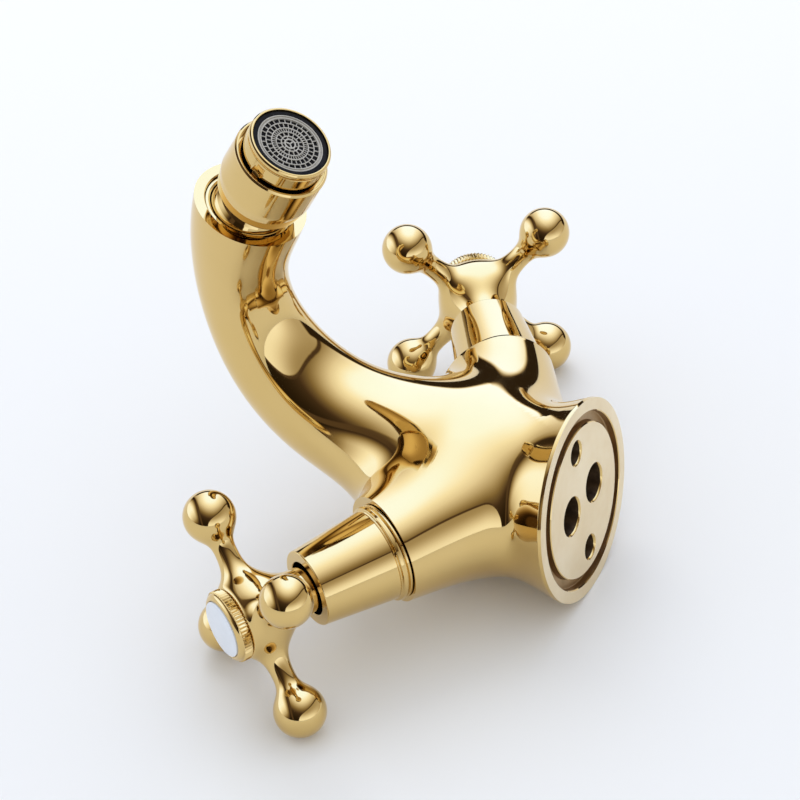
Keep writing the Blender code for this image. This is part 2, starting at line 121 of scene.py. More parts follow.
# Handle: hub's outline from its front to its stem as (height, radius), then its spokes and balls
HUB_OUTLINE = (
    (8.4, 9.4),
    (5.9, 10.5),
    (3.4, 11.4),
    (0.0, 11.8),
    (-3.6, 11.3),
    (-6.6, 9.9),
    (-9.6, 8.2),
    (-12.6, 7.2),
    (-16.0, 6.9),
    (-24.0, 6.9),
)
HUB_FRONT, STEM_END = 6.3, -21.0
SPOKE_REACH, BALL_RADIUS, SPOKE_RADIUS = 29.9, 7.6, 3.25
BALL_BLEND, SPOKE_BLEND, FRONT_BLEND = 4.5, 9.0, 1.6
HANDLE_TURN = {"hot": 0.675, "cold": 0.8925}  # of the spokes at rest, in radians

# Nozzle
BALL_DEPTH = 5.5  # from the mouth's plane back to the ball's centre
NOZZLE_TILT = math.radians(9.1)  # at rest, from the mouth's axis
SWIVEL_BALL = 12.0

# Fineness
SIDES = 192  # of a turned piece
ARC_STEP = math.radians(12)  # of a fillet
BODY_CELL, HANDLE_CELL = 1.0, 0.55
SLIVER = 0.003  # edges shorter than this are closed up
SHARP_EDGE, CUT_EDGE = math.radians(30), math.radians(25)  # steeper edges are shaded as creases
ON_SKIN, ON_FLAT = 0.02, 0.005  # how near a point lies to the surface that gives its shading


# --- Frames taken from the joints ---


JOINTS = {joint["name"]: joint for joint in frame["joints"]}


def axis_frame(origin, direction, toward):
    """Frame in mm whose Z runs along direction and whose X leans to toward."""
    z = direction.normalized()
    x = (toward - toward.dot(z) * z).normalized()
    turn = Matrix((x, z.cross(x), z)).transposed().to_4x4()
    return Matrix.Translation(origin) @ turn


def handle_frame(name):
    joint = JOINTS[f"{name}_handle_turn"]
    origin = Vector(joint["pos_m"]) / MM
    direction = Vector(joint["axis"])
    outward = direction if direction.x * origin.x > 0 else -direction
    return axis_frame(origin, outward, Vector((0, 1, 0)))


def mouth_frame():
    joint = JOINTS["nozzle_swivel"]
    direction = Vector(joint["axis"])
    return axis_frame(Vector(joint["pos_m"]) / MM + direction * BALL_DEPTH, direction, Vector((1, 0, 0)))


def nozzle_frame():
    joint = JOINTS["nozzle_tilt"]
    hinge = Vector(joint["axis"])
    aim = Matrix.Rotation(NOZZLE_TILT, 3, hinge) @ Vector(JOINTS["nozzle_swivel"]["axis"])
    return axis_frame(Vector(joint["pos_m"]) / MM, aim, hinge)


# --- Materials ---


NOISE_LOW, NOISE_HIGH = 0.3, 0.7  # nearly all of a noise lies between these


def new_material(name, color, metallic, roughness):
    material = bpy.data.materials.new(name)
    material.use_nodes = True
    shader = material.node_tree.nodes["Principled BSDF"]
    shader.inputs["Base Color"].default_value = (*color, 1.0)
    shader.inputs["Metallic"].default_value = metallic
    shader.inputs["Roughness"].default_value = roughness
    return material


def noise(material, scale, detail=3.0):
    """A noise in the piece's own coordinates, with scale in waves per metre."""
    tree = material.node_tree
    where = tree.nodes.new("ShaderNodeTexCoord")
    texture = tree.nodes.new("ShaderNodeTexNoise")
    texture.inputs["Scale"].default_value = scale
    texture.inputs["Detail"].default_value = detail
    tree.links.new(where.outputs["Object"], texture.inputs["Vector"])
    return texture.outputs["Fac"]


def roughen(material, value, low, high):
    """Lets the roughness run from low to high by a noise."""
    tree = material.node_tree
    ranged = tree.nodes.new("ShaderNodeMapRange")
    ranged.inputs["From Min"].default_value = NOISE_LOW
    ranged.inputs["From Max"].default_value = NOISE_HIGH
    ranged.inputs["To Min"].default_value = low
    ranged.inputs["To Max"].default_value = high
    tree.links.new(value, ranged.inputs["Value"])
    tree.links.new(ranged.outputs["Result"], tree.nodes["Principled BSDF"].inputs["Roughness"])


def tint(material, value, dark, light):
    """Colours the shader between dark and light by a noise."""
    tree = material.node_tree
    ramp = tree.nodes.new("ShaderNodeValToRGB")
    ramp.color_ramp.elements[0].position = NOISE_LOW
    ramp.color_ramp.elements[1].position = NOISE_HIGH
    ramp.color_ramp.elements[0].color = (*dark, 1)
    ramp.color_ramp.elements[1].color = (*light, 1)
    tree.links.new(value, ramp.inputs["Fac"])
    tree.links.new(ramp.outputs["Color"], tree.nodes["Principled BSDF"].inputs["Base Color"])


def relief(material, value, depth):
    """Bump of that depth in metres."""
    tree = material.node_tree
    bump = tree.nodes.new("ShaderNodeBump")
    bump.inputs["Distance"].default_value = depth
    bump.inputs["Strength"].default_value = 1.0
    tree.links.new(value, bump.inputs["Height"])
    tree.links.new(bump.outputs["Normal"], tree.nodes["Principled BSDF"].inputs["Normal"])


def polished_gold():
    """Plated mirror finish with a breath of polishing haze."""
    material = new_material("polished_gold_look", (0.70, 0.50, 0.20), 1.0, 0.05)
    tint(material, noise(material, 40), (0.69, 0.49, 0.19), (0.71, 0.51, 0.21))
    roughen(material, noise(material, 220, 5), 0.030, 0.065)
    return material


def machined_gold():
    """Turned and plated underside with a fine satin, so it blurs what it mirrors."""
    material = new_material("machined_gold_look", (0.84, 0.71, 0.48), 1.0, 0.35)
    tint(material, noise(material, 45, 3), (0.78, 0.63, 0.39), (0.88, 0.76, 0.54))
    roughen(material, noise(material, 400, 3), 0.30, 0.42)
    return material


def shaded_bore_metal():
    """Bare brass of the inlets and stud holes, painted near black as the shade deep inside them."""
    material = new_material("bore_painted_shade_look", (0.05, 0.03, 0.015), 1.0, 0.5)
    tint(material, noise(material, 300, 4), (0.03, 0.018, 0.01), (0.08, 0.05, 0.025))
    roughen(material, noise(material, 700), 0.4, 0.6)
    return material


def shaded_groove_metal():
    """Brass of the underside's groove, darkened as painted shade and painted dark reflection from its walls.
    """
    material = new_material("groove_painted_shade_look", (0.38, 0.25, 0.12), 1.0, 0.4)
    tint(material, noise(material, 120, 3), (0.31, 0.20, 0.09), (0.45, 0.30, 0.15))
    roughen(material, noise(material, 600), 0.33, 0.45)
    return material


def plain_metal(name, dark, light, rough):
    """Unpolished metal of the inner pieces."""
    material = new_material(name, light, 1.0, rough)
    tint(material, noise(material, 250, 4), dark, light)
    roughen(material, noise(material, 800), rough * 0.8, rough * 1.3)
    return material


def porcelain():
    """Glazed white index disc."""
    material = new_material("porcelain_look", (0.70, 0.75, 0.81), 0.0, 0.08)
    tint(material, noise(material, 120), (0.67, 0.72, 0.78), (0.73, 0.78, 0.84))
    roughen(material, noise(material, 500), 0.05, 0.11)
    material.node_tree.nodes["Principled BSDF"].inputs["Coat Weight"].default_value = 0.6
    return material


def moulded(name, dark, light, rough, depth=0.000004):
    """Dull rubber, plastic, fibre or ceramic with a fine grain of that depth in metres."""
    material = new_material(name, light, 0.0, rough)
    tint(material, noise(material, 350, 4), dark, light)
    roughen(material, noise(material, 900), rough * 0.85, rough * 1.2)
    relief(material, noise(material, 2500, 2), depth)
    material.node_tree.nodes["Principled BSDF"].inputs["Specular IOR Level"].default_value = 0.08
    return material


GOLD = polished_gold()
MACHINED = machined_gold()
SHADED_BORE = shaded_bore_metal()
SHADED_GROOVE = shaded_groove_metal()
GREY_PLASTIC = moulded("grey_plastic_look", (0.40, 0.385, 0.34), (0.50, 0.48, 0.43), 0.35)
BLACK_RUBBER = moulded("black_rubber_look", (0.006, 0.006, 0.006), (0.016, 0.015, 0.015), 0.6, 0.00001)
SLOT_LOOKS = {
    "polished_gold": GOLD,
    "raw_brass": plain_metal("raw_brass_look", (0.58, 0.42, 0.18), (0.74, 0.57, 0.28), 0.3),
    "stainless_steel": plain_metal("stainless_steel_look", (0.5, 0.5, 0.52), (0.66, 0.66, 0.68), 0.22),
    "porcelain": porcelain(),
    "alumina_ceramic": moulded("alumina_look", (0.82, 0.81, 0.77), (0.90, 0.89, 0.86), 0.25),
    "black_rubber": BLACK_RUBBER,
    "gasket_fibre": moulded("gasket_fibre_look", (0.42, 0.13, 0.08), (0.60, 0.24, 0.15), 0.8, 0.00003),
    "grey_plastic": GREY_PLASTIC,
    "white_plastic": moulded("white_plastic_look", (0.80, 0.80, 0.77), (0.88, 0.88, 0.86), 0.35),
}


# --- Mesh building ---


def new_object(name, points, faces, normals=None, materials=()):
    """An object from points in mm, with one shading normal for each face corner."""
    mesh = bpy.data.meshes.new(name)
    mesh.from_pydata((np.asarray(points) * MM).tolist(), [], faces)
    for material in materials:
        mesh.materials.append(material)
    obj = bpy.data.objects.new(name, mesh)
    bpy.context.scene.collection.objects.link(obj)
    mesh.shade_smooth()
    if normals is None:
        mesh.set_sharp_from_angle(angle=SHARP_EDGE)
    else:
        mesh.normals_split_custom_set(np.asarray(normals).tolist())
    return obj


def placed(points, placing):
    """Points of a piece's own frame as points in mm of the whole tap."""
    turn = np.array(placing.to_3x3())
    return np.asarray(points) @ turn.T + np.array(placing.translation)


def turned_normals(normals, placing):
    return np.asarray(normals) @ np.array(placing.to_3x3()).T


def finish_piece(obj, body, slot, *nodes):
    """Hides the CAD nodes that the piece stands for and hangs it on the body that carries it. The slot is not
    used.
    """
    if nodes:
        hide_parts(*nodes)
    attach(obj, body)


def side_normal(a, b):
    """Outward normal of the straight stretch from a to b of a profile."""
    run = (b - a) / np.linalg.norm(b - a)
    return np.array((-run[1], run[0])) if run[1] else np.array((0.0, run[0]))


def rotated(vector, angle):
    cos, sin = math.cos(angle), math.sin(angle)
    return np.array((vector[0] * cos - vector[1] * sin, vector[0] * sin + vector[1] * cos))


def fillet(before, corner, after, radius):
    """Points of the arc that rounds a corner, each with its normal."""
    back = (before - corner) / np.linalg.norm(before - corner)
    ahead = (after - corner) / np.linalg.norm(after - corner)
    half = math.acos(np.clip(back @ ahead, -1, 1)) / 2
    length = radius / math.tan(half)
    centre = corner + (back + ahead) / np.linalg.norm(back + ahead) * radius / math.sin(half)
    start = corner + back * length - centre
    a, b = side_normal(before, corner), side_normal(corner, after)
    turn = math.atan2(a[0] * b[1] - a[1] * b[0], a @ b)
    steps = max(2, math.ceil(abs(turn) / ARC_STEP))
    angles = [turn * k / steps for k in range(steps + 1)]
    return [(centre + rotated(start, angle), rotated(a, angle)) for angle in angles]


def filleted(profile):
    """Corner points of a profile with its fillets turned into arcs, and a start and an end normal
    for each stretch between them. A profile that starts off the axis is a ring, which closes."""
    ring = profile[0][0] > 0
    corners = [(np.array(item[:2], float), item[2] if len(item) > 2 else 0.0) for item in profile]
    count = len(corners)
    points, ends = [], []  # an end is None at a sharp corner, or (normal, starts the arc, ends the arc)
    for i, (corner, radius) in enumerate(corners):
        if radius == 0 or (not ring and i in (0, count - 1)):
            points.append(corner)
            ends.append(None)
            continue
        arc = fillet(corners[i - 1][0], corner, corners[(i + 1) % count][0], radius)
        for k, (point, normal) in enumerate(arc):
            points.append(point)
            ends.append((normal, k == 0, k == len(arc) - 1))
    stretches = []
    total = len(points)
    for i in range(total if ring else total - 1):
        j = (i + 1) % total
        inside_arc = ends[i] and ends[j] and not ends[i][2] and not ends[j][1]
        if inside_arc:
            stretches.append((i, j, ends[i][0], ends[j][0]))
        else:
            flat = side_normal(points[i], points[j])
            stretches.append((i, j, flat, flat))
    return points, stretches


def turned(name, profile, placing=Matrix(), materials=(GOLD,), sides=SIDES):
    """A lathe-turned piece with exact shading normals."""
    points, stretches = filleted(profile)
    angles = [math.tau * k / sides for k in range(sides)]
    spin = np.array([(math.cos(a), math.sin(a)) for a in angles])
    rows, verts = [], []
    for radius, height in points:
        start = sum(len(row) for row in verts)
        on_axis = radius < 1e-6
        if on_axis:
            verts.append(np.array([[0.0, 0.0, height]]))
            rows.append([start] * sides)
        else:
            verts.append(np.column_stack([spin * radius, np.full(sides, height)]))
            rows.append(list(range(start, start + sides)))
    faces, normals = [], []
    for i, j, first, last in stretches:
        up = [np.array((*(spin[k] * first[0]), first[1])) for k in range(sides)]
        down = [np.array((*(spin[k] * last[0]), last[1])) for k in range(sides)]
        for k in range(sides):
            n = (k + 1) % sides
            ids = [rows[i][k], rows[j][k], rows[j][n], rows[i][n]]
            loops = [up[k], down[k], down[n], up[n]]
            keep = [m for m in range(4) if ids[m] not in ids[:m]]
            faces.append([ids[m] for m in keep])
            normals += [loops[m] for m in keep]
    spots, normals = placed(np.vstack(verts), placing), turned_normals(normals, placing)
    return new_object(name, spots, faces, normals, materials)


def ring_faces(rows, sides):
    """Quads between neighbouring rows of points, each row being one turn round the axis."""
    faces = []
    for i in range(rows):
        j = (i + 1) % rows
        for k in range(sides):
            n = (k + 1) % sides
            faces.append([i * sides + k, j * sides + k, j * sides + n, i * sides + n])
    return faces


# --- Smooth forms from distance fields ---


def blend_union(a, b, width):
    """Union of two distance fields that run into each other over that width."""
    share = np.maximum(width - np.abs(a - b), 0) / width
    return np.minimum(a, b) - share**3 * width / 6


class Spline:
    """Natural cubic spline through rows of numbers, by the length along its first two columns."""

    def __init__(self, rows):
        self.rows = np.array(rows, float)
        steps = np.linalg.norm(np.diff(self.rows[:, :2], axis=0), axis=1)
        self.knots = np.concatenate([[0], np.cumsum(steps)])
        count = len(self.rows)
        matrix = np.eye(count)
        right = np.zeros_like(self.rows)
        slopes = np.diff(self.rows, axis=0) / steps[:, None]
        for i in range(1, count - 1):
            matrix[i, i - 1 : i + 2] = steps[i - 1], 2 * (steps[i - 1] + steps[i]), steps[i]
            right[i] = 6 * (slopes[i] - slopes[i - 1])
        self.bends = np.linalg.solve(matrix, right)

    def places(self, count):
        """Evenly spaced places along the spline."""
        return np.linspace(0, self.knots[-1], count)

    def at(self, where):
        """Value, first and second derivative at each place along the spline."""
        i = np.clip(np.searchsorted(self.knots, where) - 1, 0, len(self.rows) - 2)
        step = (self.knots[i + 1] - self.knots[i])[:, None]
        b = (where - self.knots[i])[:, None] / step
        a = 1 - b
        p, q, m, n = self.rows[i], self.rows[i + 1], self.bends[i], self.bends[i + 1]
        value = a * p + b * q + ((a**3 - a) * m + (b**3 - b) * n) * step**2 / 6
        slope = (q - p) / step + ((3 * b**2 - 1) * n - (3 * a**2 - 1) * m) * step / 6
        return value, slope, a * m + b * n

    def nearest(self, points):
        """Place along the spline that is nearest to each point of the first two columns."""
        tries = self.places(320)
        spots = self.at(tries)[0][:, :2]
        squares = (points**2).sum(1)[:, None] - 2 * points @ spots.T + (spots**2).sum(1)
        where = tries[squares.argmin(1)]
        newton_steps, least_rate = 4, 0.2
        for _ in range(newton_steps):
            value, slope, bend = (part[:, :2] for part in self.at(where))
            miss = ((value - points) * slope).sum(1)
            rate = (slope**2).sum(1) + ((value - points) * bend).sum(1)
            where = np.clip(where - miss / np.maximum(rate, least_rate), 0, self.knots[-1])
        return where


def spine_maps():
    """Squared distance to the centre line and radius there, on a 1 mm raster of y and z, blurred so
    that the casting has no crease inside the line's bends."""
    spine = Spline(SPINE)
    y, z = np.meshgrid(np.arange(*MAP_Y), np.arange(*MAP_Z), indexing="ij")
    flat = np.column_stack([y.ravel(), z.ravel()])
    value = spine.at(spine.nearest(flat))[0]
    maps = []
    for numbers in (((flat - value[:, :2]) ** 2).sum(1), value[:, 2]):
        blurred = numbers.reshape(y.shape)
        for axis in range(2):
            places = np.arange(blurred.shape[axis])
            kernel = np.exp(-((places[:, None] - places) ** 2) / (2 * MAP_BLUR**2))
            kernel /= kernel.sum(1, keepdims=True)
            blurred = np.moveaxis(np.tensordot(kernel, blurred, (1, axis)), 0, axis)
        maps.append(blurred)
    # Blurring, and the B-spline that reads the raster, each raise a squared distance by their variance
    spline_variance = 1 / 3
    return maps[0] - MAP_BLUR**2 - spline_variance, maps[1]


SPINE_SQUARES, SPINE_RADII = spine_maps()


def spline_weights(places, start, count):
    """First raster point and the four B-spline weights for each place."""
    first = np.clip(np.floor(places - start).astype(int), 1, count - 3)
    t = np.clip(places - start - first, 0, 1)
    weights = ((1 - t) ** 3, 3 * t**3 - 6 * t**2 + 4, -3 * t**3 + 3 * t**2 + 3 * t + 1, t**3)
    return first - 1, [weight / 6 for weight in weights]


def spine_field(x, y, z):
    """Round casting along the centre line, read from the blurred maps."""
    y, z = np.broadcast_arrays(y, z)
    row, row_weights = spline_weights(y, MAP_Y[0], SPINE_RADII.shape[0])
    column, column_weights = spline_weights(z, MAP_Z[0], SPINE_RADII.shape[1])
    squares, radii = 0, 0
    for i, row_weight in enumerate(row_weights):
        for j, column_weight in enumerate(column_weights):
            weight = row_weight * column_weight
            squares = squares + weight * SPINE_SQUARES[row + i, column + j]
            radii = radii + weight * SPINE_RADII[row + i, column + j]
    return np.sqrt(np.maximum(x**2 + squares, 0)) - radii


def arm_field(x, y, z, placing):
    """Tapered arm from inside the body to just past its end."""
    direction = placing.to_3x3() @ Vector((0, 0, 1))
    root = placing.translation - direction * HANDLE_PLANE
    start = root + ARM_SHIFT
    run = root + direction * (HANDLE_PLANE + ARM_END) - start
    length = run.length
    ux, uy, uz = run.normalized()
    dx, dy, dz = x - start.x, y - start.y, z - start.z
    along = dx * ux + dy * uy + dz * uz
    away_squared = np.maximum(dx**2 + dy**2 + dz**2 - along**2, 0)
    t = np.clip(along / length, 0, 1.1)
    # The radius follows the parabola through its three values
    first, middle, last = ARM_RADII
    radius = first * (1 - t) * (1 - 2 * t) + middle * 4 * t * (1 - t) + last * t * (2 * t - 1)
    # Near its start the arm is squeezed to this share of its width, measured along Y
    sideways = np.minimum((dy - along * uy) ** 2, away_squared)
    narrower = radius / (radius + ARM_WIDER * np.maximum(1 - t, 0))
    before = np.minimum(along, 0)
    away = np.sqrt(away_squared - sideways * (1 - narrower**2) + before**2)
    return np.maximum(away - radius, along - length - ARM_SPARE)


def body_field(x, y, z):
    """Spine, both arms and the foot's cone, run into each other."""
    field = spine_field(x, y, z)
    for name in ("hot", "cold"):
        field = blend_union(field, arm_field(x, y, z, handle_frame(name)), ARM_BLEND)
    lean = math.hypot(1, FOOT_SLOPE)
    foot = (np.sqrt(x**2 + y**2) - FOOT_RADIUS + FOOT_SLOPE * z) / lean
    field = blend_union(field, np.maximum(foot, z - FOOT_TOP), FOOT_BLEND)
    return np.maximum(field, BELOW_UNDERSIDE - z)


HUB = Spline([(height, radius, radius) for height, radius in HUB_OUTLINE])


def handle_field(x, y, z):
    """Hub and stem, four spokes along +-X and +-Y, and their balls."""
    outline = HUB.at(HUB.places(400))[0]
    hub_radius = np.interp(-z, -outline[:, 0], outline[:, 1])
    hub = np.sqrt(x**2 + y**2) - hub_radius
    hub = -blend_union(-hub, HUB_FRONT - z, FRONT_BLEND)
    field = np.maximum(hub, STEM_END - z)
    for along, across in ((np.abs(x), y), (np.abs(y), x)):
        spoke = np.maximum(np.sqrt(across**2 + z**2) - SPOKE_RADIUS, along - SPOKE_REACH)
        ball = np.sqrt((along - SPOKE_REACH) ** 2 + across**2 + z**2) - BALL_RADIUS
        field = blend_union(field, blend_union(spoke, ball, BALL_BLEND), SPOKE_BLEND)
    return field


def skin(field, low, high, step):
    """Quads on the field's zero surface, with every point moved onto it exactly."""
    axes = [np.arange(a, b + step, step) for a, b in zip(low, high)]
    x, y, z = axes[0][:, None, None], axes[1][None, :, None], axes[2][None, None, :]
    values = np.broadcast_to(field(x, y, z), [len(axis) for axis in axes])
    far_away = 10.0
    grid = openvdb.FloatGrid(far_away)
    grid.copyFromArray(np.ascontiguousarray(values, np.float32))
    points, quads = grid.convertToQuads(isovalue=0.0)
    points = points.astype(float) * step + np.array(low)
    newton_steps, least_square = 3, 0.1
    for _ in range(newton_steps):
        value, slope = slope_of(field, points)
        points -= slope * (value / np.maximum((slope**2).sum(1), least_square))[:, None]
    return points, quads


def slope_of(field, points):
    """The field and its gradient at each point."""
    nudge = 0.02
    slope = np.empty_like(points)
    for axis in range(3):
        ahead, behind = points.copy(), points.copy()
        ahead[:, axis] += nudge
        behind[:, axis] -= nudge
        slope[:, axis] = (field(*ahead.T) - field(*behind.T)) / (2 * nudge)
    return field(*points.T), slope


def unit(vectors):
    return vectors / np.linalg.norm(vectors, axis=-1, keepdims=True)


# --- Body ---


def foot_rim():
    """Ring that trims the foot to its radius, rounded off where the cone starts."""
    top = (FOOT_RADIUS - BASE_RADIUS) / FOOT_SLOPE
    past, land, rounding = 20, 1.2, 1.0
    return [
        (BASE_RADIUS + past, -3),
        (BASE_RADIUS, -3),
        (BASE_RADIUS, top, rounding),
        (BASE_RADIUS - land * FOOT_SLOPE, top + land),
        (BASE_RADIUS + past, top + land + past * FOOT_SLOPE),
    ]


def groove():
    """Ring that cuts the underside's groove, with bevelled edges and rounded floor corners."""
    bevel, rounding = 0.25, 0.4
    return [
        (GROOVE_OUTER + bevel, -2),
        (GROOVE_INNER - bevel, -2),
        (GROOVE_INNER - bevel, 0),
        (GROOVE_INNER, bevel),
        (GROOVE_INNER, GROOVE_DEPTH, rounding),
        (GROOVE_OUTER, GROOVE_DEPTH, rounding),
        (GROOVE_OUTER, bevel),
        (GROOVE_OUTER + bevel, 0),
    ]


def hole(radius, depth, tip, bevel):
    """Drill for a hole in the underside, with its tip and a bevelled edge."""
    return [(0, tip), (radius, depth), (radius, bevel), (radius + bevel, 0), (radius + bevel, -2), (0, -2)]


def arm_end():
    """Facing tool that also bores the arm for its headwork."""
    clear, clear_radius = -10, 30
    return [
        (0, clear),
        (clear_radius, clear),
        (clear_radius, ARM_END),
        (VALVE_BORE, ARM_END),
        (VALVE_BORE, VALVE_FLOOR),
        (0, VALVE_FLOOR),
    ]


def mouth():
    """Facing tool that also bores the ball's socket, in steps that follow the spout's taper."""
    clear, clear_radius = 45, 30
    return [
        (0, clear),
        (clear_radius, clear),
        (clear_radius, 0),
        (13.35, 0),
        (13.0, -0.4),
        (13.0, -10.2),
        (11.6, -12.8),
        (10.4, -18),
        (0, -18),
    ]


def body_cutters():
    """Turned tools for the underside, its groove and holes, the arm ends and the mouth."""
    upright = Matrix()
    tools = [
        ("underside", [(0, 0), (60, 0), (60, -30), (0, -30)], upright),
        ("rim", foot_rim(), upright),
        ("groove", groove(), upright),
    ]
    inlet = hole(INLET_RADIUS, INLET_TOP, INLET_TOP, 0.5)
    for name, x in (("hot_inlet", -INLET_X), ("cold_inlet", INLET_X)):
        tools.append((name, inlet, Matrix.Translation((x, INLET_Y, 0))))
    stud = hole(STUD_RADIUS, STUD_DEPTH, STUD_DEPTH + 1, 0.55)
    for name, y in (("front_stud", -STUD_Y), ("rear_stud", STUD_Y)):
        tools.append((name, stud, Matrix.Translation((0, y, 0))))
    for name in ("hot", "cold"):
        tools.append((f"{name}_arm_end", arm_end(), handle_frame(name)))
    tools.append(("mouth", mouth(), mouth_frame()))
    return tools


def cut(obj, tools):
    """Cuts the turned tools out of the object and bakes the result into its mesh."""
    group = bpy.data.collections.new("tools")
    for name, profile, placing in tools:
        tool = turned(f"tool_{name}", profile, placing, ())
        bpy.context.scene.collection.objects.unlink(tool)
        group.objects.link(tool)
    modifier = obj.modifiers.new("cut", "BOOLEAN")
    modifier.solver = "MANIFOLD"
    modifier.operand_type = "COLLECTION"
    modifier.collection = group
    graph = bpy.context.evaluated_depsgraph_get()
    mesh = bpy.data.meshes.new_from_object(obj.evaluated_get(graph))
    obj.modifiers.clear()
    obj.data = mesh
    # The Boolean leaves faces of almost no area, whose normals would streak the polish
    clean = bmesh.new()
    clean.from_mesh(mesh)
    bmesh.ops.dissolve_degenerate(clean, dist=SLIVER * MM, edges=clean.edges)
    clean.to_mesh(mesh)
    clean.free()
    for tool in list(group.objects):
        bpy.data.objects.remove(tool)
    bpy.data.collections.remove(group)


def shade_from_field(mesh, field, flats=()):
    """Corner normals: the field's own on its skin, the plane's on each flat (point, direction), and
    the faces' elsewhere."""
    points = np.empty(len(mesh.vertices) * 3)
    mesh.vertices.foreach_get("co", points)
    points = points.reshape(-1, 3) / MM
    value, slope = slope_of(field, points)
    slope = unit(slope)
    mesh.shade_smooth()
    mesh.set_sharp_from_angle(angle=CUT_EDGE)
    corners = np.empty(len(mesh.loops) * 3)
    mesh.corner_normals.foreach_get("vector", corners)
    corners = corners.reshape(-1, 3)
    owners = np.empty(len(mesh.loops), int)
    mesh.loops.foreach_get("vertex_index", owners)
    totals = np.empty(len(mesh.polygons), int)
    mesh.polygons.foreach_get("loop_total", totals)
    facing = np.empty(len(mesh.polygons) * 3)
    mesh.polygons.foreach_get("normal", facing)
    facing = np.repeat(facing.reshape(-1, 3), totals, axis=0)
    on_skin = (np.abs(value[owners]) < ON_SKIN) & ((facing * slope[owners]).sum(1) > 0.9)
    corners[on_skin] = slope[owners][on_skin]
    first_corners = np.concatenate([[0], np.cumsum(totals)[:-1]])
    for point, direction in flats:
        height = (points[owners] - np.array(point)) @ np.array(direction)
        lies = np.minimum.reduceat(np.abs(height) < ON_FLAT, first_corners)
        corners[np.repeat(lies, totals)] = direction
    mesh.normals_split_custom_set(corners.tolist())


BODY_LOOKS = (GOLD, MACHINED, SHADED_BORE, SHADED_GROOVE)


def body_look(x, y, z):
    """Material of the casting at a face's middle. The bevels of the groove and holes stay polished."""
    groove_bevel, hole_bevel, holes_reach = 0.26, 0.6, STUD_Y + STUD_RADIUS + 1.1
    radius = math.hypot(x, y)
    if z > INLET_TOP + 1 or radius > BASE_RADIUS - 1:
        return GOLD
    if z < 0.01:
        return MACHINED
    if GROOVE_INNER - 0.3 < radius < GROOVE_OUTER + 0.3 and z < GROOVE_DEPTH + 0.1:
        # The groove's floor and walls take its darkened painted shade, and its bevels stay polished
        return SHADED_GROOVE if z > groove_bevel else GOLD
    # Faces inside the holes take the near black painted shade
    return SHADED_BORE if radius < holes_reach and z > hole_bevel else GOLD


def make_body():
    top = CAD_BOX[1][2] / MM + 3
    points, quads = skin(body_field, (-53, -102, -6), (53, BASE_RADIUS + 5, top), BODY_CELL)
    body = new_object("body", points, quads.tolist())
    cut(body, body_cutters())
    flats = [((0, 0, 0), (0, 0, -1))]
    faced = ((handle_frame("hot"), ARM_END), (handle_frame("cold"), ARM_END), (mouth_frame(), 0))
    for placing, height in faced:
        flats.append((placing @ Vector((0, 0, height)), placing.to_3x3() @ Vector((0, 0, 1))))
    mesh = body.data
    shade_from_field(mesh, body_field, flats)
    mesh.materials.clear()
    for material in BODY_LOOKS:
        mesh.materials.append(material)
    for face in mesh.polygons:
        face.material_index = BODY_LOOKS.index(body_look(*(face.center / MM)))
    finish_piece(body, "tap_body", "polished_gold", "body_casting")


# --- Bonnets, handles and index plates ---


def make_bonnet(name, placing):
    """Tapered sleeve, then the bead and the thin flange at its foot, then its inside."""
    sleeve = [(8.15, -17.1, 0.2), (11.35, -17.1, 0.5), (13.5, -39.7), (13.35, -40.1, 0.15)]
    bead = [(13.6, -40.35), (14.25, -40.6, 0.3), (14.45, -41.5, 0.5), (14.2, -42.3, 0.3), (14.0, -42.45)]
    flange = [(14.35, -42.6, 0.1), (14.35, -43.2, 0.1)]
    inside = [(12.4, -43.2), (12.2, -40), (10.2, -19.4), (8.15, -19.4)]
    bonnet = turned(f"{name}_bonnet_sleeve", sleeve + bead + flange + inside, placing)
    finish_piece(bonnet, "tap_body", "polished_gold", f"{name}_bonnet")


def make_handle(name, placing, form):
    points, quads, normals = form
    placing = placing @ Matrix.Rotation(HANDLE_TURN[name], 4, "Z")
    spots, normals = placed(points, placing), turned_normals(normals, placing)
    handle = new_object(f"{name}_cross_handle", spots, quads, normals, (GOLD,))
    finish_piece(handle, f"{name}_valve_handle", "polished_gold", f"{name}_handle")


def handle_form():
    """Points, quads and corner normals of a cross handle in its own frame."""
    reach = SPOKE_REACH + BALL_RADIUS + 1
    back, front = STEM_END - 1.5, BALL_RADIUS + 0.9
    points, quads = skin(handle_field, (-reach, -reach, back), (reach, reach, front), HANDLE_CELL)
    normals = unit(slope_of(handle_field, points)[1])
    return points, quads.tolist(), normals[quads.ravel()]


def knurled_ring(name, placing, teeth=60, depth=0.4):
    """Bezel of the index, with straight knurling on its back edge."""
    lip = [(8.45, 10.3), (8.6, 10.5), (9.0, 10.5), (9.6, 10.2), (10.05, 9.75), (10.2, 9.45), (10.25, 9.3)]
    knurl = [(10.6, 9.2), (10.7, 9.0), (10.7, 6.9), (10.55, 6.7)]
    inside = [(9.9, 6.6), (8.0, 6.6), (8.0, 9.2), (8.45, 9.2)]
    rows = lip + knurl + inside
    sides_per_tooth = 6
    sides = teeth * sides_per_tooth
    points = []
    for radius, height in rows:
        for k in range(sides):
            angle = math.tau * k / sides
            dip = depth * (0.5 - 0.5 * math.cos(teeth * angle)) if (radius, height) in knurl else 0
            points.append(((radius - dip) * math.cos(angle), (radius - dip) * math.sin(angle), height))
    return new_object(name, placed(points, placing), ring_faces(len(rows), sides), None, (GOLD,))


